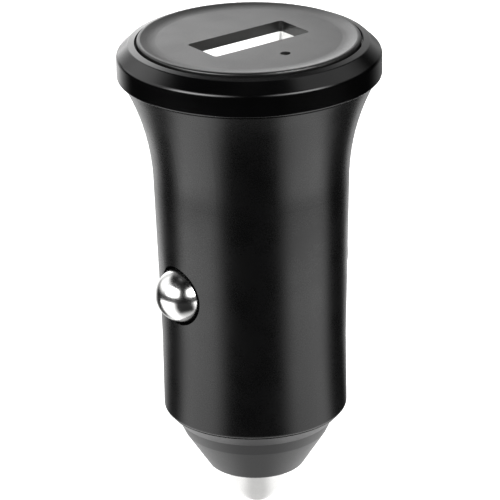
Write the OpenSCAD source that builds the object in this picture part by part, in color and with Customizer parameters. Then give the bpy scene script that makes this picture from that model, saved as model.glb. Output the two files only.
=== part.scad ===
// Plug-in charger for a vehicle's 12 V outlet, with one USB-A socket in its face.
// The origin lies on the plug's axis, in the straight grip at the barrel's lower end.
// +Z points out of the face, X runs along the socket's long side, and the sprung side
// contacts stand at -X and +X. The indicator hole is on the -Y side of the face.

/* [Face plate] */
// Height of the face's rim above the origin
face_z = 36.2; // [34:0.1:38]
// Diameter of the face plate
face_d = 23.8; // [23:0.1:24.6]
// Width of the level rim
rim_w = 0.4; // [0.3:0.1:1]
// Width of the curve from the rim down to the floor
rim_slope = 1.6; // [0.8:0.1:2.4]
// Depth of the dished floor under the rim
face_dish = 0.2; // [0.1:0.05:0.4]
// Radius of the rim's outer edge
face_round = 0.25; // [0.15:0.05:0.3]
// Thickness of the plate under its floor
plate_t = 1.2; // [0.9:0.1:1.6]
// Diameter of the indicator hole
led_hole_d = 1.1; // [0.8:0.1:1.6]
// How far the snap skirt behind the plate lies inside the plate's edge
skirt_in = 1.0; // [0.8:0.1:1.3]
// Wall of the snap skirt
skirt_t = 0.8; // [0.6:0.1:1]
// Length of the snap skirt
skirt_h = 3.6; // [3:0.1:3.9]
// How far the snap bead stands out of the skirt
bead = 0.25; // [0.15:0.05:0.35]
// Height of the snap bead
bead_h = 0.8; // [0.5:0.1:1]

/* [Bezel ring] */
// Width of the ring, from its lip to its outer edge
ring_w = 1.95; // [1.6:0.05:2.4]
// Height of the ring's visible part
ring_h = 3.75; // [3.4:0.05:4.1]
// How far the face plate's rim stands proud of the ring's lip
face_proud = 0.35; // [0.2:0.05:0.5]
// Shadow gap between the face plate and the ring's lip
lip_gap = 0.25; // [0.15:0.05:0.4]
// Width of the nearly level land at the lip
lip_land = 0.7; // [0.4:0.05:0.9]
// Fall of the land below the horizontal, in degrees
lip_fall = 12; // [6:1:18]
// Fall of the shoulder below the horizontal, in degrees
shoulder_fall = 44; // [36:1:50]
// Radius of the crease between the land and the shoulder
crease_round = 0.3; // [0.15:0.05:0.4]
// Radius of the shoulder's outer edge
shoulder_round = 0.5; // [0.3:0.05:0.7]
// Radius of the ring's lower edge
ring_foot_round = 0.2; // [0.1:0.05:0.35]
// Wall of the spigot that seats in the barrel
spigot_t = 0.8; // [0.6:0.05:0.9]
// Length of the spigot
spigot_h = 1.6; // [1.4:0.1:1.8]

/* [Barrel] */
// How far the ring stands out past the flare
flare_step = 0.4; // [0.3:0.05:0.6]
// Width of the plain land that trims the flare's sharp edge
flare_land = 0.15; // [0.1:0.05:0.3]
// Length of the flare's curve
flare_h = 12.3; // [11:0.1:13.5]
// Length of the taper below the flare
taper_h = 17.5; // [15:0.5:19]
// How much the taper takes off the radius
taper_w = 0.5; // [0.3:0.05:0.7]
// Length of the straight grip at the lower end
grip_h = 8.4; // [7:0.1:10]
// Wall of the barrel
wall = 1.1; // [1:0.05:1.25]
// Radius of the lower outer edge
barrel_round = 0.4; // [0.2:0.05:0.6]
// Thickness of the lip that holds the nose
lip_t = 1.2; // [1:0.1:1.5]

/* [Nose] */
// Wall of the nose's neck in the barrel
neck_wall = 1.0; // [0.8:0.1:1.2]
// How far the nose's shoulder lies inside the barrel's outside
nose_in = 0.3; // [0.2:0.05:0.5]
// Width of the sloping shoulder
collar_w = 1.2; // [1:0.05:1.4]
// Height of the sloping shoulder
collar_h = 1.3; // [1:0.1:1.5]
// How far the shoulder's lower edge stands out past the neck
nose_step = 0.9; // [0.7:0.05:1.1]
// Joint between the barrel and the nose
nose_gap = 0.1; // [0.05:0.05:0.2]
// Height of the steep band under the shoulder
band_h = 1.4; // [1:0.1:1.8]
// How much the band narrows, on the radius
band_in = 0.65; // [0.4:0.05:0.8]
// Length of the nose below the barrel
nose_h = 6.9; // [6.5:0.1:7.4]
// Half angle of the cone, in degrees
cone_angle = 33; // [27:1:35]
// Radius of the cone's lower edge
nose_round = 0.5; // [0.3:0.05:0.7]
// Thickness of the nose's end, which the tip's flange rests on
nose_end_t = 1.5; // [1.2:0.1:1.8]
// How far the neck's snap bead stands out
neck_bead = 0.6; // [0.4:0.05:0.7]
// Length of the neck above the barrel's lip
neck_h = 1.5; // [1.4:0.1:1.6]
// Wall round the spring's bore
spring_wall = 1.0; // [0.8:0.1:1.2]

/* [Tip] */
// Diameter of the tip
tip_d = 5.9; // [5.4:0.1:6.2]
// How far the tip stands out of the nose
tip_out = 4.8; // [4.5:0.1:5.5]
// How far the tip's flange stands out past the tip
flange_step = 0.75; // [0.6:0.05:0.9]
// Thickness of the flange
flange_t = 0.8; // [0.6:0.1:1]
// Diameter of the spigot inside the spring
pilot_d = 3.4; // [3:0.1:3.8]
// Length of the spigot inside the spring
pilot_h = 1.5; // [1:0.1:2]
// Running clearance of the tip in its hole, on the radius
tip_clear = 0.08; // [0.05:0.01:0.1]
// Clearance of the flange in the spring's bore, on the radius
flange_clear = 0.2; // [0.15:0.05:0.3]

/* [Tip spring] */
// Mean diameter of the coil
coil_d = 5.4; // [5.2:0.1:5.6]
// Diameter of the spring wire
wire_d = 0.5; // [0.4:0.05:0.6]
// Number of turns
coil_turns = 5; // [4:1:6]
// Diameter of the spring's seat
seat_d = 7.1; // [6.9:0.1:7.2]
// Thickness of the seat
seat_t = 0.5; // [0.4:0.05:0.6]
// Width of the seat's solder tab
tab_w = 2.4; // [2:0.1:2.8]
// Length of the tab above the carrier's floor
tab_h = 2.4; // [1.8:0.1:2.8]

/* [Side contacts] */
// Height of the contacts' centre above the barrel's lower end
contact_h = 15.3; // [14:0.1:16.5]
// Diameter of the drawn dome
dome_d = 6.0; // [5.6:0.1:6.1]
// Gap round the dome in its hole
dome_gap = 0.3; // [0.2:0.05:0.4]
// How far the dome's crown stands out past the grip
dome_out = 2.4; // [2.1:0.05:2.6]
// Thickness of the spring sheet
leaf_t = 0.35; // [0.3:0.05:0.4]
// Clearance of the leaf's flat inside the barrel
leaf_gap = 0.49; // [0.4:0.01:0.6]
// Width of the leaf
leaf_w = 3.6; // [3:0.1:3.8]
// Width of the flat round the dome
dome_flat = 0.6; // [0.4:0.05:0.7]
// Depth of the leaf's root in its slot
root_h = 1.2; // [1:0.1:1.4]
// Clearance of the root on each side in its slot
root_clear = 0.17; // [0.15:0.01:0.2]

/* [Carrier] */
// Clearance of the carrier in the barrel, on the radius
carrier_clear = 0.1; // [0.08:0.01:0.15]
// Height of the carrier's base
base_h = 3.2; // [3:0.1:3.5]
// Thickness of the floor over the spring's seat
floor_t = 1.5; // [1.3:0.1:1.7]
// Wall of the curved back
back_t = 0.9; // [0.7:0.1:1.1]
// Length of the curved back above the base
back_h = 26; // [24:0.5:26.5]
// Thickness of the rails' lips
rail_lip = 0.6; // [0.5:0.05:0.7]
// Height of the lower rails above the base
rail_low_h = 3.4; // [3:0.1:3.6]
// Depth of the rails over the board's edges
rail_grip = 0.75; // [0.6:0.05:0.9]
// Wall of the rails outside the board's edges
rail_wall = 0.36; // [0.3:0.02:0.5]

/* [Circuit board] */
// Thickness of the board
board_t = 1.0; // [0.8:0.1:1.2]
// How far the board's edges are cut in beside the side contacts
waist_in = 3.1; // [3:0.05:3.2]
// Depth of the board's upper edge below the face's rim
board_top = 3.4; // [3.2:0.1:3.8]
// Clearance round the board and the socket's shell
slip = 0.1; // [0.05:0.01:0.15]

/* [USB socket] */
// Width of the opening
port_w = 12.5; // [12.5:0.05:12.7]
// Height of the opening
port_h = 5.12; // [5.12:0.02:5.3]
// Radius of the opening's corners
port_round = 0.4; // [0.2:0.05:0.6]
// Thickness of the shell's sheet
shell_t = 0.3; // [0.25:0.05:0.35]
// Length of the shell
shell_l = 14; // [13.5:0.1:14.2]
// Space beside the tongue
tongue_side = 0.7; // [0.6:0.05:0.8]
// Thickness of the tongue
tongue_t = 1.84; // [1.7:0.02:1.9]
// Distance of the tongue's contact face from the middle
tongue_y = 0.1; // [0.05:0.05:0.2]
// How far the tongue stays behind the shell's mouth
tongue_back = 1.9; // [1.6:0.1:2.2]
// Length of the block behind the tongue
block_l = 3.4; // [3:0.1:4]
// Width of a socket blade
blade_w = 1.0; // [0.8:0.1:1.1]
// Thickness of a socket blade
blade_t = 0.3; // [0.2:0.05:0.3]
// Places of the four blades along the tongue
blade_x = [-3.5, -1, 1, 3.5];

/* [Electronics] */
// Diameter of the indicator lamp
lamp_d = 3.0; // [2.8:0.1:3.1]
// Width of the flange round the lamp's foot
lamp_flange = 0.35; // [0.25:0.05:0.4]
// Gap between the lamp and the board
lamp_gap = 0.64; // [0.5:0.02:0.8]
// Depth of the lamp's foot behind the plate
lamp_l = 5.5; // [5:0.1:6]
// Gap between the plate and the crown of the lamp
lens_gap = 1.3; // [1:0.1:1.6]
// Diameter of the power inductor
choke_d = 6.2; // [5.6:0.1:6.3]
// Height of the power inductor
choke_h = 4.2; // [3.5:0.1:4.5]
// Diameter of the two electrolytic capacitors
cap_d = 5.0; // [4.6:0.1:5]
// Length of the output capacitor
cap_out_h = 6.0; // [5:0.1:6]
// Length of the controller's package
controller_l = 4.9; // [4.7:0.1:5]
// Width of the controller's package
controller_w = 3.9; // [3.7:0.1:4]
// Height of the controller's package
controller_h = 1.6; // [1.4:0.05:1.7]
// Length of the rectifier diode
diode_l = 5.2; // [4.8:0.1:5.4]
// Width of the rectifier diode
diode_w = 2.6; // [2.4:0.1:2.8]
// Height of the rectifier diode
diode_h = 2.2; // [2:0.1:2.4]
// Length of the resettable fuse
fuse_l = 4.6; // [4.4:0.1:4.8]
// Width of the resettable fuse
fuse_w = 3.2; // [3:0.1:3.4]
// Height of the resettable fuse
fuse_h = 1.0; // [0.8:0.1:1.2]
// Space between neighbouring parts along the board
part_gap = 0.95; // [0.8:0.05:1.2]
// Gap between the input capacitor and the tab of the spring's seat
cap_room = 0.5; // [0.3:0.1:0.8]
// Length of a chip resistor or chip capacitor
chip_l = 1.6; // [1.4:0.1:1.6]
// Width of a chip resistor or chip capacitor
chip_w = 0.8; // [0.7:0.05:0.85]
// Height of a chip resistor or chip capacitor
chip_h = 0.5; // [0.4:0.05:0.6]
// Distance between neighbouring chip parts in a row
chip_pitch = 1.5; // [1.3:0.1:1.7]

/* [Hidden] */
$fn = 96;
eps = 0.01;

// Socket and board, across the plug
shell_x = port_w / 2 + shell_t;
shell_y = port_h / 2 + shell_t;
board_w = 2 * (shell_x + slip + rail_grip);
waist_w = board_w - 2 * waist_in;
board_y = -shell_y;
board_back = board_y - board_t;
led_y = lamp_d / 2 + lamp_flange + lamp_gap - board_back;

// Radii, from the board outward for the barrel and from the plate outward for the ring
carrier_r = norm([board_w / 2 + slip + rail_wall, board_back - slip]);
grip_r = carrier_r + carrier_clear + wall;
barrel_r = grip_r + taper_w;
face_r = face_d / 2;
skirt_r = face_r - skirt_in;
lip_r = face_r + lip_gap;
ring_r = lip_r + ring_w;
spigot_r = skirt_r + slip + spigot_t;
flare_r = ring_r - flare_step;
tip_r = tip_d / 2;
flange_r = tip_r + flange_step;
spring_bore_r = flange_r + flange_clear;
collar_r = grip_r - nose_in;
nose_r = collar_r - collar_w;
neck_r = nose_r - nose_step;
band_r = nose_r - band_in;
dome_r = dome_d / 2;
flat_r = dome_r + dome_flat;
contact_hole_d = dome_d + 2 * dome_gap;
dome_reach = grip_r + dome_out;
leaf_x = sqrt(pow(grip_r - wall - leaf_gap, 2) - pow(flat_r, 2));
flare_arc = (pow(flare_h, 2) + pow(flare_r - barrel_r, 2)) / (2 * (flare_r - barrel_r));
floor_r = face_r - rim_w - rim_slope;
dish_arc = (pow(rim_slope, 2) + pow(face_dish, 2)) / (2 * face_dish);

// Heights, from the face down
z_floor = face_z - face_dish;
z_plate = z_floor - plate_t;
z_lip = face_z - face_proud;
z_ring = z_lip - ring_h;
z_spigot = z_ring - spigot_h;
z_flare = z_ring - flare_h;
z_grip = z_flare - taper_h;
z_barrel = z_grip - grip_h;
z_neck = z_barrel + lip_t + neck_h;
z_band = z_barrel - nose_gap - collar_h;
z_cone = z_band - band_h;
z_nose = z_barrel - nose_h;
z_flange = z_nose + nose_end_t;
z_tip = z_nose - tip_out;
z_base = z_neck + 0.1;
z_base_top = z_base + base_h;
z_seat = z_base_top - floor_t - seat_t;
z_contact = z_barrel + contact_h;
z_root = z_base_top - root_h;
z_board = face_z - board_top;
z_shell_end = z_plate - shell_l;

// The straight leaf turns about a line half way down its root slot.
hinge_z = z_base_top - root_h / 2;

module black_satin() color("#2a2a2c") children();
module black_gloss() color("#1a1a1c") children();
module polished() color("#d8d9dc") children();
module brass() color("#c8a452") children();
module grey_plastic() color("#5b5e63") children();

// A box between two corners
module block(low, high) {
    translate(low) cube(high - low);
}

// What a round of radius rad takes off a square corner at (r, z); up is 1 for an upper edge
// and -1 for a lower one
module edge_cut(r, z, rad, up) {
    difference() {
        translate([r - rad, up > 0 ? z - rad : z - 1]) square([rad + 1, rad + 1]);
        translate([r - rad, z - up * rad]) circle(rad);
    }
}

// What a round of radius rad takes off the corner at p, between a face that falls by a degrees
// and one that falls by b degrees further out
module corner_cut(p, a, b, rad) {
    up_a = [sin(a), cos(a)];
    up_b = [sin(b), cos(b)];
    centre = p - rad * (up_a + up_b) / (1 + up_a * up_b);
    difference() {
        polygon([
            centre, centre + (rad + 1) * up_a, p + up_a + up_b, centre + (rad + 1) * up_b
        ]);
        translate(centre) circle(rad);
    }
}

// A rectangle with rounded corners, centred
module round_rect(w, h, rad) {
    square([w - 2 * rad, h], center = true);
    square([w, h - 2 * rad], center = true);
    for (x = [-1, 1], y = [-1, 1])
        translate([x * (w / 2 - rad), y * (h / 2 - rad)]) circle(rad);
}

// Section of the snap bead on the skirt, grown by a clearance
module bead_section(grow) {
    z0 = z_plate - skirt_h;
    polygon([
        [skirt_r - 0.2, z0 + bead_h + grow],
        [skirt_r + bead + grow, z0 + bead_h / 2],
        [skirt_r - 0.2, z0 - grow]
    ]);
}

module face_plate() black_satin() difference() {
    union() {
        rotate_extrude() difference() {
            union() {
                translate([0, z_plate]) square([floor_r, plate_t]);
                // The rim, which rises from the floor in a soft curve
                difference() {
                    translate([floor_r, z_plate]) square([face_r - floor_r, face_z - z_plate]);
                    translate([floor_r, z_floor + dish_arc]) circle(dish_arc, $fn = 360);
                }
                translate([skirt_r - skirt_t, z_plate - skirt_h])
                    square([skirt_t, skirt_h + eps]);
                bead_section(0);
            }
            edge_cut(face_r, face_z, face_round, 1);
        }
        // Collar that locates the socket's shell behind the opening
        translate([0, 0, z_plate - 1.5]) linear_extrude(1.5 + eps) difference() {
            square([2 * (shell_x + slip + 0.8), 2 * (shell_y + slip + 0.8)], center = true);
            square([2 * (shell_x + slip), 2 * (shell_y + slip)], center = true);
        }
        // Guide that holds the indicator lamp
        translate([0, -led_y, z_plate - 2]) difference() {
            cylinder(h = 2 + eps, r = lamp_d / 2 + slip + 0.7);
            translate([0, 0, -1]) cylinder(h = 3, r = lamp_d / 2 + slip);
        }
    }
    translate([0, 0, z_plate - 1]) linear_extrude(plate_t + 2)
        round_rect(port_w, port_h, port_round);
    translate([0, -led_y, z_plate - 1]) cylinder(h = plate_t + 2, d = led_hole_d);
}

module bezel_ring() black_gloss() rotate_extrude() {
    bore_r = skirt_r + slip;
    land_r = lip_r + lip_land;
    land_z = z_lip - tan(lip_fall) * lip_land;
    corner_z = land_z - tan(shoulder_fall) * (ring_r - land_r);
    difference() {
        polygon([
            [lip_r, z_lip], [land_r, land_z], [ring_r, corner_z], [ring_r, z_ring],
            [spigot_r, z_ring], [spigot_r, z_spigot], [bore_r, z_spigot], [bore_r, z_plate],
            [lip_r, z_plate]
        ]);
        corner_cut([land_r, land_z], lip_fall, shoulder_fall, crease_round);
        corner_cut([ring_r, corner_z], shoulder_fall, 90, shoulder_round);
        edge_cut(ring_r, z_ring, ring_foot_round, -1);
        bead_section(0.05);
    }
}

module body_shell() black_satin() difference() {
    rotate_extrude() difference() {
        union() {
            difference() {
                translate([0, z_flare]) square([flare_r - flare_land, flare_h]);
                translate([barrel_r + flare_arc, z_flare]) circle(flare_arc, $fn = 360);
            }
            polygon([
                [0, z_barrel], [grip_r, z_barrel], [grip_r, z_grip], [barrel_r, z_flare],
                [0, z_flare]
            ]);
        }
        edge_cut(grip_r, z_barrel, barrel_round, -1);
        // Socket for the ring's spigot
        translate([0, z_spigot - 0.1]) square([spigot_r + 0.1, spigot_h + 1]);
        // Hollow of the flare, one wall inside it
        difference() {
            translate([0, z_flare]) square([spigot_r, z_spigot - z_flare]);
            translate([barrel_r + flare_arc, z_flare]) circle(flare_arc + wall, $fn = 360);
        }
        // Hollow of the taper and the grip
        polygon([
            [0, z_barrel + lip_t], [grip_r - wall, z_barrel + lip_t],
            [grip_r - wall, z_grip], [barrel_r - wall, z_flare + eps], [0, z_flare + eps]
        ]);
        // Mouth for the nose's neck
        translate([0, z_barrel - 1]) square([neck_r + 0.1, lip_t + 2]);
    }
    translate([0, 0, z_contact]) rotate([0, 90, 0])
        cylinder(h = 4 * barrel_r, d = contact_hole_d, center = true);
}

module nose_cap() black_satin() rotate_extrude() {
    edge_z = z_nose + nose_round;
    touch_z = edge_z - nose_round * sin(cone_angle);
    touch_r = band_r - tan(cone_angle) * (z_cone - touch_z);
    edge_r = touch_r - nose_round * cos(cone_angle);
    relief_r = spring_bore_r + spring_wall;
    relief_w = neck_r - neck_wall - relief_r;
    difference() {
        union() {
            polygon([
                [0, z_nose], [edge_r, z_nose], [edge_r, edge_z], [touch_r, touch_z],
                [band_r, z_cone], [nose_r, z_band], [collar_r, z_band + collar_h],
                [neck_r, z_band + collar_h], [neck_r, z_neck], [0, z_neck]
            ]);
            translate([edge_r, edge_z]) circle(nose_round);
            // Bead that snaps over the barrel's lip
            polygon([
                [neck_r - 0.2, z_barrel + lip_t + 0.1],
                [neck_r + neck_bead, z_barrel + lip_t + 0.1],
                [neck_r + neck_bead, z_barrel + lip_t + 0.4],
                [neck_r - 0.2, z_neck - 0.2]
            ]);
        }
        translate([-1, z_nose - 1]) square([tip_r + tip_clear + 1, nose_end_t + 2]);
        translate([-1, z_flange]) square([spring_bore_r + 1, z_neck - z_flange + 1]);
        translate([relief_r, z_cone]) square([relief_w, z_neck - z_cone + 1]);
    }
}

module tip_contact() polished() rotate_extrude() {
    intersection() {
        translate([0, z_tip + tip_r]) circle(tip_r);
        translate([0, z_tip]) square([tip_r, tip_r]);
    }
    translate([0, z_tip + tip_r]) square([tip_r, z_flange - z_tip - tip_r + eps]);
    translate([0, z_flange]) square([flange_r, flange_t]);
    translate([0, z_flange + flange_t - eps]) square([pilot_d / 2, pilot_h + eps]);
}

// A round wire wound into a helix cuts each level plane in a crescent, so that crescent is
// raised with a twist.
module tip_spring() color("#b9bbc0") {
    z0 = z_flange + flange_t;
    coil_h = z_seat - z0;
    pitch = coil_h / coil_turns;
    section = [
        for (t = [0 : 30 : 330])
            let (turn = 360 * wire_d / 2 * sin(t) / pitch, r = (coil_d + wire_d * cos(t)) / 2)
                [r * cos(turn), r * sin(turn)]
    ];
    translate([0, 0, z0])
        linear_extrude(coil_h, twist = -360 * coil_turns, slices = 18 * coil_turns, $fn = 12)
            polygon(section);
}

module spring_seat() brass() {
    translate([0, 0, z_seat]) cylinder(h = seat_t, d = seat_d);
    block(
        [-tab_w / 2, board_y, z_seat + seat_t - eps],
        [tab_w / 2, board_y + seat_t, z_base_top + tab_h]
    );
}

// Spring sheet of the side contact at +X: a straight leaf with a round flat, out of which a
// hollow dome is drawn
module ground_contact() {
    dome_x = dome_reach - dome_r;
    difference() {
        union() {
            translate([leaf_x - leaf_t, -leaf_w / 2, z_root + 0.05])
                cube([leaf_t, leaf_w, z_contact - z_root]);
            translate([leaf_x - leaf_t, 0, z_contact]) rotate([0, 90, 0])
                cylinder(h = leaf_t, r = flat_r);
            translate([leaf_x - leaf_t, 0, z_contact]) rotate([0, 90, 0])
                rotate_extrude() dome_section(dome_r, dome_x - leaf_x + leaf_t);
        }
        translate([leaf_x - leaf_t, 0, z_contact]) rotate([0, 90, 0])
            rotate_extrude() translate([0, -eps])
                dome_section(dome_r - leaf_t, dome_x - leaf_x + leaf_t + eps);
    }
}

// Half section of a dome of radius r on a straight wall of height h
module dome_section(r, h) {
    square([r, h]);
    intersection() {
        translate([0, h]) circle(r);
        translate([0, h - eps]) square([r, r + eps]);
    }
}

module ground_contact_left() polished() mirror([1, 0, 0]) ground_contact();

module ground_contact_right() polished() ground_contact();

// Moulded chassis: a base with the spring's socket, a curved back, and rails for the board
module inner_carrier() grey_plastic() {
    back_y = board_back - slip - rail_lip + 0.1;
    rail_y = board_y + slip + rail_lip;
    rail_x = shell_x + slip;
    top = z_base_top + back_h;
    rail_top = z_contact + flat_r + 1.6;
    difference() {
        union() {
            translate([0, 0, z_base]) cylinder(h = base_h, r = carrier_r);
            intersection() {
                translate([0, 0, z_base_top - eps]) cylinder(h = back_h + eps, r = carrier_r);
                union() {
                    difference() {
                        block([-carrier_r, -carrier_r, z_base_top - eps], [carrier_r, back_y, top]);
                        translate([0, 0, z_base_top])
                            cylinder(h = back_h + 1, r = carrier_r - back_t);
                    }
                    for (side = [-1, 1]) scale_x(side) {
                        block([rail_x, back_y - 0.6, rail_top], [carrier_r, rail_y, top]);
                        block(
                            [rail_x, back_y - 0.6, z_base_top - eps],
                            [carrier_r, rail_y, z_base_top + rail_low_h]
                        );
                    }
                }
            }
        }
        // Slot for the board's edges
        block(
            [-board_w / 2 - slip, board_back - slip, z_base_top],
            [board_w / 2 + slip, board_y + slip, top + 1]
        );
        // Socket for the spring and its seat
        translate([0, 0, z_base - 1])
            cylinder(h = z_seat + seat_t - z_base + 1, d = seat_d + 4 * slip);
        block(
            [-tab_w / 2 - slip, board_y - slip, z_seat],
            [tab_w / 2 + slip, board_y + seat_t + slip, z_base_top + 1]
        );
        // Slots for the roots of the side contacts
        for (side = [-1, 1]) scale_x(side) block(
            [leaf_x - leaf_t - root_clear, -leaf_w / 2 - slip, z_root],
            [leaf_x + root_clear, leaf_w / 2 + slip, z_base_top + 1]
        );
    }
}

// Mirrors its children to the -X side where side is -1
module scale_x(side) {
    if (side > 0) children();
    else mirror([1, 0, 0]) children();
}

// Places of the board's holes: for the shell's legs, the blades, the lamp and the capacitors
leg_z = [z_plate - 4, z_plate - 11];
blade_leg_z = z_shell_end + 1.25;
lamp_leg_z = z_plate - lamp_l - 3;
choke_gap = 0.4;
choke_low = z_shell_end - choke_gap - choke_d;
cap_pitch = 2.0;
cap_out_x = cap_d / 2 + 0.9;
cap_out_top = z_shell_end - 0.9;
cap_in_top = min(cap_out_top - cap_out_h, choke_low) - part_gap - 0.4;
cap_in_h = cap_in_top - z_base_top - tab_h - cap_room;

module circuit_board() color("#1f5a3a") {
    waist_top = z_contact + flat_r + 1.3;
    waist_low = z_contact - flat_r - 2.2;
    difference() {
        translate([0, board_y, 0]) rotate([90, 0, 0]) linear_extrude(board_t) difference() {
            translate([-board_w / 2, z_base_top]) square([board_w, z_board - z_base_top]);
            for (side = [-1, 1])
                translate([side * (waist_w + board_w) / 4, (waist_top + waist_low) / 2])
                    square([(board_w - waist_w) / 2 + eps, waist_top - waist_low], center = true);
        }
        for (x = [-1, 1], z = leg_z)
            board_hole(x * (shell_x - shell_t / 2), z, 0.65);
        for (x = blade_x) board_hole(x, blade_leg_z, 0.4);
        for (x = [-1, 1]) {
            board_hole(x * 1.27, lamp_leg_z, 0.4);
            board_hole(x * cap_pitch / 2, cap_in_top + 0.4, 0.4);
            board_hole(cap_out_x + x * cap_pitch / 2, cap_out_top + 0.4, 0.4);
        }
    }
}

module board_hole(x, z, r) {
    translate([x, board_y + 1, z]) rotate([90, 0, 0]) cylinder(h = board_t + 2, r = r);
}

module usb_shell() color("#cfd2d6") {
    latch = [1.6, 5.2];
    difference() {
        translate([0, 0, z_shell_end]) linear_extrude(shell_l) difference() {
            round_rect(2 * shell_x, 2 * shell_y, port_round + shell_t);
            round_rect(port_w, port_h, port_round);
        }
        // Cuts that free the four latch springs
        for (x = [-3.2, 3.2], y = [-1, 1]) translate([x, y * shell_y, z_plate - 5.6])
            difference() {
                cube([latch[0] + 0.6, 1.2, latch[1]], center = true);
                translate([0, 0, 0.5]) cube([latch[0], 2, latch[1]], center = true);
            }
        // Window for the blades' legs
        block(
            [blade_x[0] - 1, -shell_y - 1, z_shell_end - 1],
            [blade_x[3] + 1, -port_h / 2 + eps, blade_leg_z + 0.8]
        );
    }
    for (x = [-1, 1], z = leg_z) translate([x * (shell_x - shell_t / 2), board_y, z])
        translate([-shell_t / 2, -board_t - 0.8, -0.45])
            cube([shell_t, board_t + 0.8 + shell_t + port_round, 0.9]);
}

module usb_tongue() color("#17181a") {
    block_y = port_h / 2 - 0.05;
    difference() {
        union() {
            block(
                [-port_w / 2 + 0.05, -block_y, z_shell_end + 0.1],
                [port_w / 2 - 0.05, block_y, z_shell_end + block_l]
            );
            block(
                [tongue_side - port_w / 2, tongue_y, z_shell_end + block_l - eps],
                [port_w / 2 - tongue_side, tongue_y + tongue_t, z_plate - tongue_back]
            );
        }
        for (x = blade_x) blade(x);
        // Rounded corners of the block, so that it goes into the rounded shell
        for (x = [-1, 1], y = [-1, 1])
            translate([x * port_w / 2, y * port_h / 2, z_shell_end + block_l / 2])
                rotate(45) cube([port_round, port_round, 2 * block_l], center = true);
    }
}

// One gold-plated blade: it lies half sunk in the tongue, then turns down to the board
module blade(x) {
    block(
        [x - blade_w / 2, tongue_y - blade_t / 2, blade_leg_z - blade_t / 2],
        [x + blade_w / 2, tongue_y + blade_t / 2, z_plate - tongue_back - 0.8]
    );
    block(
        [x - 0.3, board_back - 0.7, blade_leg_z - blade_t / 2],
        [x + 0.3, tongue_y + blade_t / 2, blade_leg_z + blade_t / 2]
    );
}

module usb_contact(x) color("#d9b65c") blade(x);

// Through-hole lamp that lies behind the indicator hole, with its legs bent to the board
module status_led() color("#c9d4e8") {
    lens_r = lamp_d / 2;
    lens_z = z_plate - lens_gap - lens_r;
    foot_z = z_plate - lamp_l;
    translate([0, -led_y, 0]) rotate_extrude() {
        intersection() {
            translate([0, lens_z]) circle(lens_r);
            translate([0, lens_z - eps]) square([lens_r, lens_r + eps]);
        }
        translate([0, foot_z]) square([lens_r, lens_z - foot_z]);
        translate([0, foot_z]) square([lens_r + lamp_flange, 0.9]);
    }
    for (x = [-1.27, 1.27]) {
        block([x - 0.22, -led_y - 0.22, lamp_leg_z - 0.22], [x + 0.22, -led_y + 0.22, foot_z + eps]);
        block([x - 0.22, -led_y, lamp_leg_z - 0.22], [x + 0.22, board_y - 0.15, lamp_leg_z + 0.22]);
    }
}

// Places of the three larger parts on the board's outer face, from the top
chip_half = controller_l / 2;
diode_half = diode_l / 2;
fuse_half = fuse_l / 2;
z_chip = z_shell_end - 1.35 - chip_half;
z_diode = cap_in_top - 0.1 - diode_half;
z_fuse = cap_in_top - 0.1 - fuse_half;
diode_x = waist_w / 2 - 0.25 - diode_w / 2;
fuse_x = fuse_w / 2 + 0.25 - waist_w / 2;

// Eight-lead package
module controller_chip() {
    z = z_chip;
    x = controller_w / 2;
    color("#222326") block(
        [-x, board_back - controller_h, z - chip_half], [x, board_back - 0.15, z + chip_half]
    );
    color("#c9ccd0") for (side = [-1, 1], n = [-1.5 : 1 : 1.5]) scale_x(side)
        translate([x, 0, z + n * 1.27]) {
            block([-eps, board_back - 0.75, -0.2], [0.55, board_back - 0.55, 0.2]);
            block([0.35, board_back - 0.75, -0.2], [0.55, board_back, 0.2]);
            block([0.35, board_back - 0.2, -0.2], [1.05, board_back, 0.2]);
        }
}

module rectifier_diode() translate([diode_x, 0, 0]) {
    z = z_diode;
    x = diode_w / 2;
    color("#222326") block(
        [-x, board_back - diode_h, z - diode_half + 0.45],
        [x, board_back - 0.1, z + diode_half - 0.45]
    );
    color("#c9ccd0") for (end = [-1, 1]) translate([0, 0, z + end * (diode_half - 0.35)])
        block([0.55 - x, board_back - diode_h / 2, -0.35], [x - 0.55, board_back, 0.35]);
}

module resettable_fuse() translate([fuse_x, 0, 0]) {
    z = z_fuse;
    x = fuse_w / 2;
    color("#3f7a4d") block(
        [-x, board_back - fuse_h, z - fuse_half + 0.45],
        [x, board_back - 0.05, z + fuse_half - 0.45]
    );
    color("#c9ccd0") for (end = [-1, 1]) translate([0, 0, z + end * (fuse_half - 0.3)])
        block([-x, board_back - fuse_h - 0.05, -0.3], [x, board_back, 0.3]);
}

// Drum of the power inductor, standing on the board's inner face
choke_x = choke_d / 2 - shell_x;
choke_z = choke_low + choke_d / 2;
choke_flange = 0.8;

module on_choke() {
    translate([choke_x, board_y, choke_z]) rotate([-90, 0, 0]) children();
}

module inductor_core() color("#3a3b3f") on_choke() rotate_extrude() {
    square([choke_d / 2, choke_flange]);
    square([choke_d / 4, choke_h]);
    translate([0, choke_h - choke_flange]) square([choke_d / 2, choke_flange]);
}

module inductor_winding() color("#a8623a") on_choke() translate([0, 0, choke_flange])
    difference() {
        cylinder(h = choke_h - 2 * choke_flange, r = choke_d / 2 - 0.25);
        translate([0, 0, -1]) cylinder(h = choke_h, r = choke_d / 4);
    }

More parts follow.
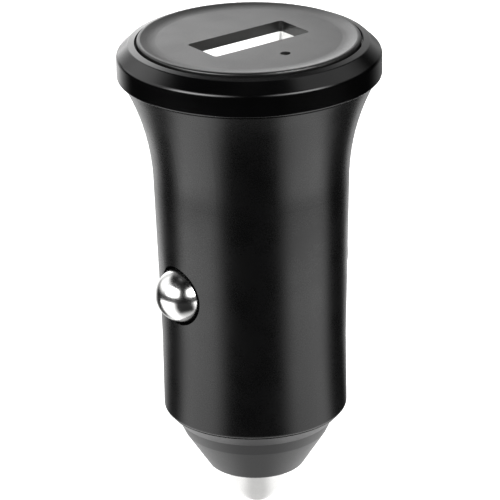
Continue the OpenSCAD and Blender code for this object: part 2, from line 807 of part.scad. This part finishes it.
// Electrolytic capacitor that lies on the board with its base up, and its legs bent back
module capacitor(x, top, h) {
    can_r = cap_d / 2;
    can_y = board_y + can_r;
    color("#23252b") translate([x, can_y, top - h]) rotate_extrude() difference() {
        square([can_r, h]);
        translate([can_r + 0.1, h - 1.2]) circle(0.4);
        translate([0, -eps]) square([can_r - 0.6, 0.15]);
    }
    color("#c9ccd0") for (side = [-1, 1]) translate([x + side * cap_pitch / 2, 0, top])
        union() {
            block([-0.22, can_y - 0.22, -eps], [0.22, can_y + 0.22, 0.62]);
            block([-0.22, board_back - 0.5, 0.18], [0.22, can_y + 0.22, 0.62]);
        }
}

module input_capacitor() capacitor(0, cap_in_top, cap_in_h);

module output_capacitor() capacitor(cap_out_x, cap_out_top, cap_out_h);

// One chip part on the board's outer face
module chip_part(x, z, body) {
    color(body) block(
        [x - chip_l / 2 + 0.25, board_back - chip_h, z - chip_w / 2],
        [x + chip_l / 2 - 0.25, board_back, z + chip_w / 2]
    );
    color("#c9ccd0") for (end = [-1, 1])
        translate([x + end * (chip_l / 2 - 0.15), board_back - chip_h / 2, z])
            cube([0.3, chip_h, chip_w], center = true);
}

// The resistors' rows stand beside the legs of the socket's shell.
chip_x = shell_x - shell_t / 2 - 1 - chip_l / 2;

module chip_resistors() for (n = [0 : 3], side = [-1, 1])
    chip_part(side * chip_x, z_shell_end - 1.2 + n * chip_pitch, "#26272b");

module chip_capacitors() for (side = [-1, 1], n = [0 : 1])
    chip_part(side * chip_x / 2, blade_leg_z + 1.55 + n * chip_pitch, "#a98558");

body_shell();
bezel_ring();
face_plate();
nose_cap();
tip_contact();
tip_spring();
spring_seat();
ground_contact_left();
ground_contact_right();
inner_carrier();
circuit_board();
usb_shell();
usb_tongue();
usb_contact(blade_x[0]);  // usb_contact_1
usb_contact(blade_x[1]);  // usb_contact_2
usb_contact(blade_x[2]);  // usb_contact_3
usb_contact(blade_x[3]);  // usb_contact_4
status_led();
controller_chip();
rectifier_diode();
resettable_fuse();
inductor_core();
inductor_winding();
input_capacitor();
output_capacitor();
chip_resistors();
chip_capacitors();
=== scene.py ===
"""Studio scene for the plug-in car charger: materials, light, floor and camera.

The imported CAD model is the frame. All lengths are in metres unless a name ends in MM or DEG.
"""
import math

import bpy
from mathutils import Matrix, Vector


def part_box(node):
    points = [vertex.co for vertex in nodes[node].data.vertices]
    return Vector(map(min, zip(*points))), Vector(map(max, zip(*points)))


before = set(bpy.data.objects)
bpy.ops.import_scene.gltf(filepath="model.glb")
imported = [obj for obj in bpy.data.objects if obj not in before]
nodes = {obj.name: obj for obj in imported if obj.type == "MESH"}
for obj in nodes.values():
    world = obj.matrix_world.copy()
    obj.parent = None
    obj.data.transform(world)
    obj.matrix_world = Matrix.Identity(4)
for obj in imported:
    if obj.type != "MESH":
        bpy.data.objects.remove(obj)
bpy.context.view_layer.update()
MM = 0.001

# Camera: where it stands round the object, its distance, and what it looks at
CAMERA_AZ_DEG = -36.673
CAMERA_EL_DEG = 22.020
CAMERA_ROLL_DEG = -1.100
CAMERA_DISTANCE = 0.400
CAMERA_AIM = Vector((-0.2376, 0.1769, 11.870)) * MM
CAMERA_LENS_MM = 266.416
SENSOR_MM = 36.0

# Studio: the lit floor fades out between the distances of LIT_MM, and round the tip, up to
# the distances of TIP_MM, its light is even
FLOOR_HALF = 3.0
LIT_MM = (85.0, 125.0)
TIP_MM = (20.0, 34.0)
WHITE = (1.0, 1.0, 1.0, 1.0)

# Lamp over the USB opening: power, distance, radius of its beam at the opening and of the lamp
SOCKET_LAMP_W = 13.0
SOCKET_LAMP_AWAY = 0.25
SOCKET_BEAM = 0.008
SOCKET_LAMP_RADIUS = 0.003
SOCKET_LAMP_SIDE = Vector((0.15, -0.62, 0.9))


# ---------------------------------------------------------------- node helpers
class Graph:
    """Small helper that adds nodes to a tree and links them."""

    def __init__(self, tree):
        self.tree = tree
        self.nodes = tree.nodes
        self.nodes.clear()

    def add(self, kind, inputs=None, **props):
        node = self.nodes.new(kind)
        for name, value in props.items():
            setattr(node, name, value)
        for key, value in (inputs or {}).items():
            self.set(node.inputs[key], value)
        return node

    def set(self, socket, value):
        if isinstance(value, bpy.types.NodeSocket):
            self.tree.links.new(value, socket)
        else:
            socket.default_value = value

    def math(self, operation, a, b=0.0):
        return self.add("ShaderNodeMath", {0: a, 1: b}, operation=operation).outputs[0]

    def total(self, *values):
        out = values[0]
        for value in values[1:]:
            out = self.math("ADD", out, value)
        return out

    def product(self, *values):
        out = values[0]
        for value in values[1:]:
            out = self.math("MULTIPLY", out, value)
        return out

    def step(self, value, low, high, out_low=0.0, out_high=1.0):
        """Smooth step from out_low at low to out_high at high."""
        if low > high:
            low, high, out_low, out_high = high, low, out_high, out_low
        node = self.add(
            "ShaderNodeMapRange",
            {"Value": value, "From Min": low, "From Max": high, "To Min": out_low, "To Max": out_high},
            interpolation_type="SMOOTHSTEP",
        )
        return node.outputs["Result"]

    def mix(self, factor, a, b):
        """Mixes two colours."""
        node = self.add("ShaderNodeMix", {"Factor": factor}, data_type="RGBA")
        for name, value in (("A", a), ("B", b)):
            socket = [s for s in node.inputs if s.name == name and s.type == "RGBA"][0]
            self.set(socket, value if isinstance(value, bpy.types.NodeSocket) else (*value, 1.0))
        return [s for s in node.outputs if s.type == "RGBA"][0]

    def object_mm(self):
        """Object coordinates in millimetres."""
        coords = self.add("ShaderNodeTexCoord")
        scaled = self.add("ShaderNodeVectorMath", {0: coords.outputs["Object"]}, operation="SCALE")
        scaled.inputs["Scale"].default_value = 1000.0
        return scaled.outputs[0]

    def noise(self, vector, per_mm, detail=2.0, rough=0.5):
        """Noise of about 0 to 1 with per_mm features per millimetre."""
        node = self.add(
            "ShaderNodeTexNoise",
            {"Vector": vector, "Scale": per_mm, "Detail": detail, "Roughness": rough},
        )
        return node.outputs["Fac"]

    def bump(self, height, distance_mm):
        inputs = {"Height": height, "Distance": distance_mm * MM, "Strength": 1.0}
        return self.add("ShaderNodeBump", inputs).outputs[0]


def material(name):
    mat = bpy.data.materials.new(name)
    mat.use_nodes = True
    return mat, Graph(mat.node_tree)


def surface(graph, **inputs):
    """Adds the principled shader with these inputs and the output node."""
    shader = graph.add("ShaderNodeBsdfPrincipled")
    for name, value in inputs.items():
        graph.set(shader.inputs[name.replace("_", " ")], value)
    out = graph.add("ShaderNodeOutputMaterial")
    graph.set(out.inputs["Surface"], shader.outputs[0])


def paint(mat, *names):
    for name in names:
        mesh = nodes[name].data
        mesh.materials.clear()
        mesh.materials.append(mat)


# ---------------------------------------------------------------- moulded plastics
def moulded(name, colour, rough, grain_per_mm, grain_mm, rough_spread=0.05, ior=1.5):
    """Moulded part with a spark-eroded grain and faint flow marks in its tone and gloss."""
    mat, g = material(name)
    at = g.object_mm()
    grain = g.noise(at, grain_per_mm, 3.0, 0.6)
    cloud = g.noise(at, 0.25, 2.0)
    dark, pale = tuple(c * 0.9 for c in colour), tuple(c * 1.12 for c in colour)
    tone = g.mix(g.step(cloud, 0.3, 0.7), dark, pale)
    gloss = g.total(
        g.step(cloud, 0.25, 0.75, rough - rough_spread / 2, rough + rough_spread / 2),
        g.step(grain, 0.3, 0.7, -rough_spread / 2, rough_spread / 2),
    )
    surface(g, Base_Color=tone, Roughness=gloss, IOR=ior, Normal=g.bump(grain, grain_mm))
    return mat


def satin_shell():
    return moulded("satin_shell", (0.0015, 0.0015, 0.0016), 0.28, 5.0, 0.004)


def satin_face():
    return moulded("satin_face", (0.004, 0.004, 0.0038), 0.33, 5.5, 0.012, ior=1.58)


def gloss_ring():
    return moulded("gloss_ring", (0.0015, 0.0015, 0.0016), 0.16, 6.0, 0.0015, rough_spread=0.03)


def satin_nose():
    return moulded("satin_nose", (0.012, 0.012, 0.0123), 0.38, 5.0, 0.006)


def grey_carrier():
    return moulded("grey_carrier", (0.105, 0.11, 0.12), 0.5, 4.0, 0.01)


def socket_insulator():
    return moulded("socket_insulator", (0.012, 0.012, 0.013), 0.45, 6.0, 0.006)


# ---------------------------------------------------------------- metals
def plated(name, colour, rough, polish_mm=0.0006, dull=0.05, metal=1.0):
    """Plated metal with faint polishing lines and duller patches."""
    mat, g = material(name)
    at = g.object_mm()
    along_z = {0: at, 1: (9.0, 9.0, 0.8)}
    stretched = g.add("ShaderNodeVectorMath", along_z, operation="MULTIPLY").outputs[0]
    lines = g.noise(stretched, 1.0, 2.0)
    patch = g.noise(at, 0.6, 3.0)
    tone = g.mix(g.step(patch, 0.35, 0.7), tuple(c * 0.95 for c in colour), colour)
    gloss = g.step(patch, 0.3, 0.75, rough, rough + dull)
    surface(g, Base_Color=tone, Metallic=metal, Roughness=gloss, Normal=g.bump(lines, polish_mm))
    return mat


def plated_dome():
    return plated("plated_dome", (0.92, 0.915, 0.905), 0.16)


def plated_tip():
    return plated("plated_tip", (0.74, 0.735, 0.725), 0.20)


def socket_shell():
    """Tinned steel, half matt."""
    return plated("socket_shell", (0.88, 0.88, 0.87), 0.42, 0.001, 0.08, metal=0.55)


def spring_steel():
    return plated("spring_steel", (0.55, 0.55, 0.56), 0.25, 0.001, 0.1)


def brass():
    return plated("brass", (0.72, 0.52, 0.24), 0.28, 0.001, 0.12)


def gold_blade():
    return plated("gold_blade", (0.95, 0.70, 0.32), 0.18, 0.0005, 0.08)


# ---------------------------------------------------------------- electronics
def board():
    """Green solder mask over copper lines, with the glass weave faintly in its gloss."""
    mat, g = material("board")
    at = g.object_mm()
    split = g.add("ShaderNodeSeparateXYZ", {0: at})
    x, z = split.outputs[0], split.outputs[2]
    wobble = g.step(g.noise(at, 0.12, 0.0), 0.3, 0.7, -1.5, 1.5)
    across = g.math("ABSOLUTE", g.math("SINE", g.product(g.total(x, wobble), 1.7)))
    along = g.math("ABSOLUTE", g.math("SINE", g.product(g.total(z, wobble), 0.55)))
    lines = g.math("MAXIMUM", g.step(across, 0.16, 0.24, 1.0, 0.0),
                   g.step(along, 0.06, 0.10, 1.0, 0.0))
    weave = g.product(g.math("SINE", g.product(x, 14.0)), g.math("SINE", g.product(z, 14.0)))
    tone = g.mix(lines, (0.012, 0.085, 0.035), (0.03, 0.16, 0.06))
    gloss = g.step(weave, -1.0, 1.0, 0.28, 0.38)
    surface(g, Base_Color=tone, Roughness=gloss, Normal=g.bump(lines, 0.03))
    return mat


def small_part(name, colour, rough, tinned_ends=False):
    """Moulded or ceramic part; on chips the two ends across X are tinned."""
    mat, g = material(name)
    grain = g.noise(g.object_mm(), 6.0, 2.0)
    dark, pale = tuple(c * 0.85 for c in colour), tuple(c * 1.1 for c in colour)
    tone = g.mix(g.step(grain, 0.3, 0.7), dark, pale)
    gloss = g.step(grain, 0.3, 0.7, rough - 0.05, rough + 0.05)
    if tinned_ends:
        normal = g.add("ShaderNodeTexCoord").outputs["Normal"]
        x = g.add("ShaderNodeSeparateXYZ", {0: normal}).outputs[0]
        end = g.step(g.math("ABSOLUTE", x), 0.5, 0.7)
        surface(g, Base_Color=g.mix(end, tone, (0.75, 0.75, 0.74)), Roughness=gloss, Metallic=end,
                Normal=g.bump(grain, 0.01))
    else:
        surface(g, Base_Color=tone, Roughness=gloss, Normal=g.bump(grain, 0.01))
    return mat


def ferrite():
    return moulded("ferrite", (0.03, 0.03, 0.033), 0.6, 5.0, 0.02)


def copper_wire():
    """Enamelled wire: its turns show as ridges along the drum's axis."""
    mat, g = material("copper_wire")
    at = g.object_mm()
    y = g.add("ShaderNodeSeparateXYZ", {0: at}).outputs[1]
    turns = g.math("ABSOLUTE", g.math("SINE", g.product(y, 7.0)))
    tone = g.mix(turns, (0.16, 0.045, 0.015), (0.50, 0.19, 0.07))
    surface(g, Base_Color=tone, Metallic=0.6, Roughness=g.step(turns, 0.0, 1.0, 0.5, 0.3),
            Normal=g.bump(turns, 0.15))
    return mat


def capacitor_sleeve():
    return moulded("capacitor_sleeve", (0.012, 0.013, 0.018), 0.3, 3.0, 0.004)


def lamp_epoxy():
    """Clear, slightly blue epoxy."""
    mat, g = material("lamp_epoxy")
    at = g.object_mm()
    cloud = g.noise(at, 1.5, 2.0)
    tone = g.mix(g.step(cloud, 0.3, 0.7), (0.70, 0.78, 0.90), (0.82, 0.88, 0.96))
    surface(g, Base_Color=tone, Roughness=g.step(cloud, 0.3, 0.7, 0.08, 0.16), IOR=1.54,
            Transmission_Weight=0.6)
    return mat


MATERIALS = {
    satin_shell: ["body_shell"],
    gloss_ring: ["bezel_ring"],
    satin_face: ["face_plate"],
    satin_nose: ["nose_cap"],
    plated_tip: ["tip_contact"],
    plated_dome: ["ground_contact_left", "ground_contact_right"],
    spring_steel: ["tip_spring"],
    brass: ["spring_seat"],
    grey_carrier: ["inner_carrier"],
    board: ["circuit_board"],
    socket_shell: ["usb_shell"],
    socket_insulator: ["usb_tongue"],
    gold_blade: ["usb_contact_1", "usb_contact_2", "usb_contact_3", "usb_contact_4"],
    lamp_epoxy: ["status_led"],
    ferrite: ["inductor_core"],
    copper_wire: ["inductor_winding"],
    capacitor_sleeve: ["input_capacitor", "output_capacitor"],
}
for make, names in MATERIALS.items():
    paint(make(), *names)
paint(small_part("chip_epoxy", (0.018, 0.018, 0.02), 0.5), "controller_chip", "rectifier_diode")
paint(small_part("fuse_body", (0.05, 0.20, 0.08), 0.5), "resettable_fuse")
paint(small_part("chip_black", (0.02, 0.02, 0.022), 0.4, tinned_ends=True), "chip_resistors")
paint(small_part("chip_tan", (0.42, 0.26, 0.13), 0.4, tinned_ends=True), "chip_capacitors")


# ---------------------------------------------------------------- camera
def make_camera():
    az, el, roll = (math.radians(v) for v in (CAMERA_AZ_DEG, CAMERA_EL_DEG, CAMERA_ROLL_DEG))
    back = Vector((math.sin(az) * math.cos(el), -math.cos(az) * math.cos(el), math.sin(el)))
    right = Vector((math.cos(az), math.sin(az), 0.0))
    up = back.cross(right)
    tilted_right = right * math.cos(roll) + up * math.sin(roll)
    tilted_up = up * math.cos(roll) - right * math.sin(roll)
    data = bpy.data.cameras.new("studio_camera")
    data.sensor_width = SENSOR_MM
    data.lens = CAMERA_LENS_MM
    data.clip_start, data.clip_end = 0.01, 20.0
    cam = bpy.data.objects.new("studio_camera", data)
    bpy.context.scene.collection.objects.link(cam)
    turn = Matrix((tilted_right, tilted_up, back)).transposed().to_4x4()
    cam.matrix_world = Matrix.Translation(CAMERA_AIM + back * CAMERA_DISTANCE) @ turn
    bpy.context.scene.camera = cam


# ---------------------------------------------------------------- studio
# Directions of the studio are given from the object: the angle round from the camera,
# positive to the right, and the height over the horizon, both in degrees.
FRONT = Vector((math.sin(math.radians(CAMERA_AZ_DEG)), -math.cos(math.radians(CAMERA_AZ_DEG)), 0.0))
RIGHT = Vector((math.cos(math.radians(CAMERA_AZ_DEG)), math.sin(math.radians(CAMERA_AZ_DEG)), 0.0))


def around(g, vector):
    """Angle of a vector round from the camera, in degrees."""
    def along(axis):
        node = g.add("ShaderNodeVectorMath", {0: vector, 1: tuple(axis)}, operation="DOT_PRODUCT")
        return node.outputs["Value"]
    return g.product(g.math("ARCTAN2", along(RIGHT), along(FRONT)), 180 / math.pi)


def seen_by_camera(g, shown, studio):
    """The camera sees the shown shader; mirrors and everything else see the studio."""
    ray = g.add("ShaderNodeLightPath")
    return g.add("ShaderNodeMixShader", {0: ray.outputs["Is Camera Ray"], 1: studio, 2: shown}).outputs[0]


def make_world():
    """White backdrop behind, soft boxes at the front and sides, dark straight in front and
    nearly dark overhead. The camera itself sees plain white."""
    world = bpy.data.worlds.new("studio")
    bpy.context.scene.world = world
    world.use_nodes = True
    g = Graph(world.node_tree)
    direction = g.add("ShaderNodeTexCoord").outputs["Generated"]
    turn = around(g, direction)
    z = g.add("ShaderNodeSeparateXYZ", {0: direction}).outputs[2]
    height = g.product(g.math("ARCSINE", z), 180 / math.pi)

    def patch(t0, t1, t2, t3, h0, h1, h2, h3, strength):
        """Soft panel from t1 to t2 round and h1 to h2 high, fading out to t0, t3, h0 and h3."""
        return g.product(
            g.step(turn, t0, t1), g.step(turn, t2, t3, 1.0, 0.0),
            g.step(height, h0, h1), g.step(height, h2, h3, 1.0, 0.0), strength,
        )

    front_left_box = patch(-84, -60, -46, -8, 2, 16, 30, 44, 9.0)
    front_right_box = patch(8, 46, 58, 80, 4, 18, 30, 44, 7.0)
    left_box = patch(-158, -124, -100, -60, -2, 14, 36, 52, 1.3)
    right_box = patch(60, 78, 110, 140, 16, 30, 62, 80, 0.7)
    back_left = g.step(turn, -166, -138, 2.4, 0.0)
    back_right = g.step(turn, 134, 166, 0.0, 0.65)
    backdrop = g.product(g.total(back_left, back_right), g.step(height, 28, 42, 1.0, 0.0),
                         g.step(height, -6, 2))
    high_back = g.product(g.step(g.math("ABSOLUTE", turn), 120, 160, 0.0, 0.22), g.step(height, 38, 50))
    overhead = g.step(height, 68, 82, 0.0, 0.1)
    table = g.product(g.total(g.step(turn, -160, -124, 1.1, 0.0), g.step(turn, 124, 160, 0.0, 0.25)),
                      g.step(height, -6, 2, 1.0, 0.0))
    light = g.total(front_left_box, front_right_box, left_box, right_box, backdrop, high_back,
                    overhead, table)

    studio = g.add("ShaderNodeBackground", {"Strength": light})
    white = g.add("ShaderNodeBackground", {"Strength": 1.0})
    for node in (studio, white):
        node.inputs["Color"].default_value = WHITE
    out = g.add("ShaderNodeOutputWorld")
    g.set(out.inputs["Surface"], seen_by_camera(g, white.outputs[0], studio.outputs[0]))


def make_floor():
    """Floor under the tip. The camera sees it pale, with the object's shadow. The object sees
    it lit on the left, on the right and behind, and dark in front."""
    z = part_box("tip_contact")[0][2]
    corners = [(x * FLOOR_HALF, y * FLOOR_HALF, z) for x, y in ((-1, -1), (1, -1), (1, 1), (-1, 1))]
    mesh = bpy.data.meshes.new("floor")
    mesh.from_pydata(corners, [], [(0, 1, 2, 3)])
    floor = bpy.data.objects.new("floor", mesh)
    bpy.context.scene.collection.objects.link(floor)
    mat, g = material("floor")
    diffuse = g.add("ShaderNodeBsdfDiffuse", {"Color": (0.9, 0.9, 0.9, 1.0)})
    glow = g.add("ShaderNodeEmission", {"Color": WHITE, "Strength": 0.82})
    pale = g.add("ShaderNodeAddShader", {0: diffuse.outputs[0], 1: glow.outputs[0]})

    at = g.object_mm()
    turn = around(g, at)
    reach = g.add("ShaderNodeVectorMath", {0: at}, operation="LENGTH").outputs["Value"]
    side = g.math("ABSOLUTE", turn)
    left_panel = g.product(g.step(turn, -104, -82), g.step(turn, -52, -26, 1.0, 0.0), 2.0)
    right_panel = g.product(g.step(turn, 26, 50), g.step(turn, 82, 104, 1.0, 0.0), 1.8)
    behind = g.math("MAXIMUM", g.step(turn, -146, -118, 1.0, 0.0), g.step(turn, 134, 154))
    lobes = g.total(left_panel, right_panel, behind, 0.02)
    by_tip = g.step(side, 15, 75, 0.8, 1.4)
    near = g.step(reach, *TIP_MM, 1.0, 0.0)
    lobes = g.product(lobes, g.step(reach, 38.0, 84.0, 0.80, 1.25))  # brighter further out
    pattern = g.total(g.product(lobes, g.math("SUBTRACT", 1.0, near)), g.product(near, by_tip))
    lit = g.add("ShaderNodeEmission", {"Color": WHITE, "Strength": pattern})
    clear = g.add("ShaderNodeBsdfTransparent")
    fade = g.step(reach, *LIT_MM)
    card = g.add("ShaderNodeMixShader", {0: fade, 1: lit.outputs[0], 2: clear.outputs[0]})
    out = g.add("ShaderNodeOutputMaterial")
    g.set(out.inputs["Surface"], seen_by_camera(g, pale.outputs[0], card.outputs[0]))
    mesh.materials.append(mat)
    floor.visible_shadow = False


def make_socket_lamp():
    """Narrow lamp from above, aimed into the USB opening."""
    low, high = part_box("usb_shell")
    mouth = Vector(((low[0] + high[0]) / 2, (low[1] + high[1]) / 2, high[2]))
    data = bpy.data.lights.new("socket_lamp", "SPOT")
    data.energy = SOCKET_LAMP_W
    data.spot_size = 2 * math.atan2(SOCKET_BEAM, SOCKET_LAMP_AWAY)
    data.spot_blend = 0.5
    data.shadow_soft_size = SOCKET_LAMP_RADIUS
    lamp = bpy.data.objects.new("socket_lamp", data)
    bpy.context.scene.collection.objects.link(lamp)
    towards = SOCKET_LAMP_SIDE.normalized()
    lamp.location = mouth + towards * SOCKET_LAMP_AWAY
    lamp.rotation_euler = towards.to_track_quat("Z", "Y").to_euler()


make_camera()
make_world()
make_floor()
make_socket_lamp()

scene = bpy.context.scene
scene.view_settings.view_transform = "Standard"
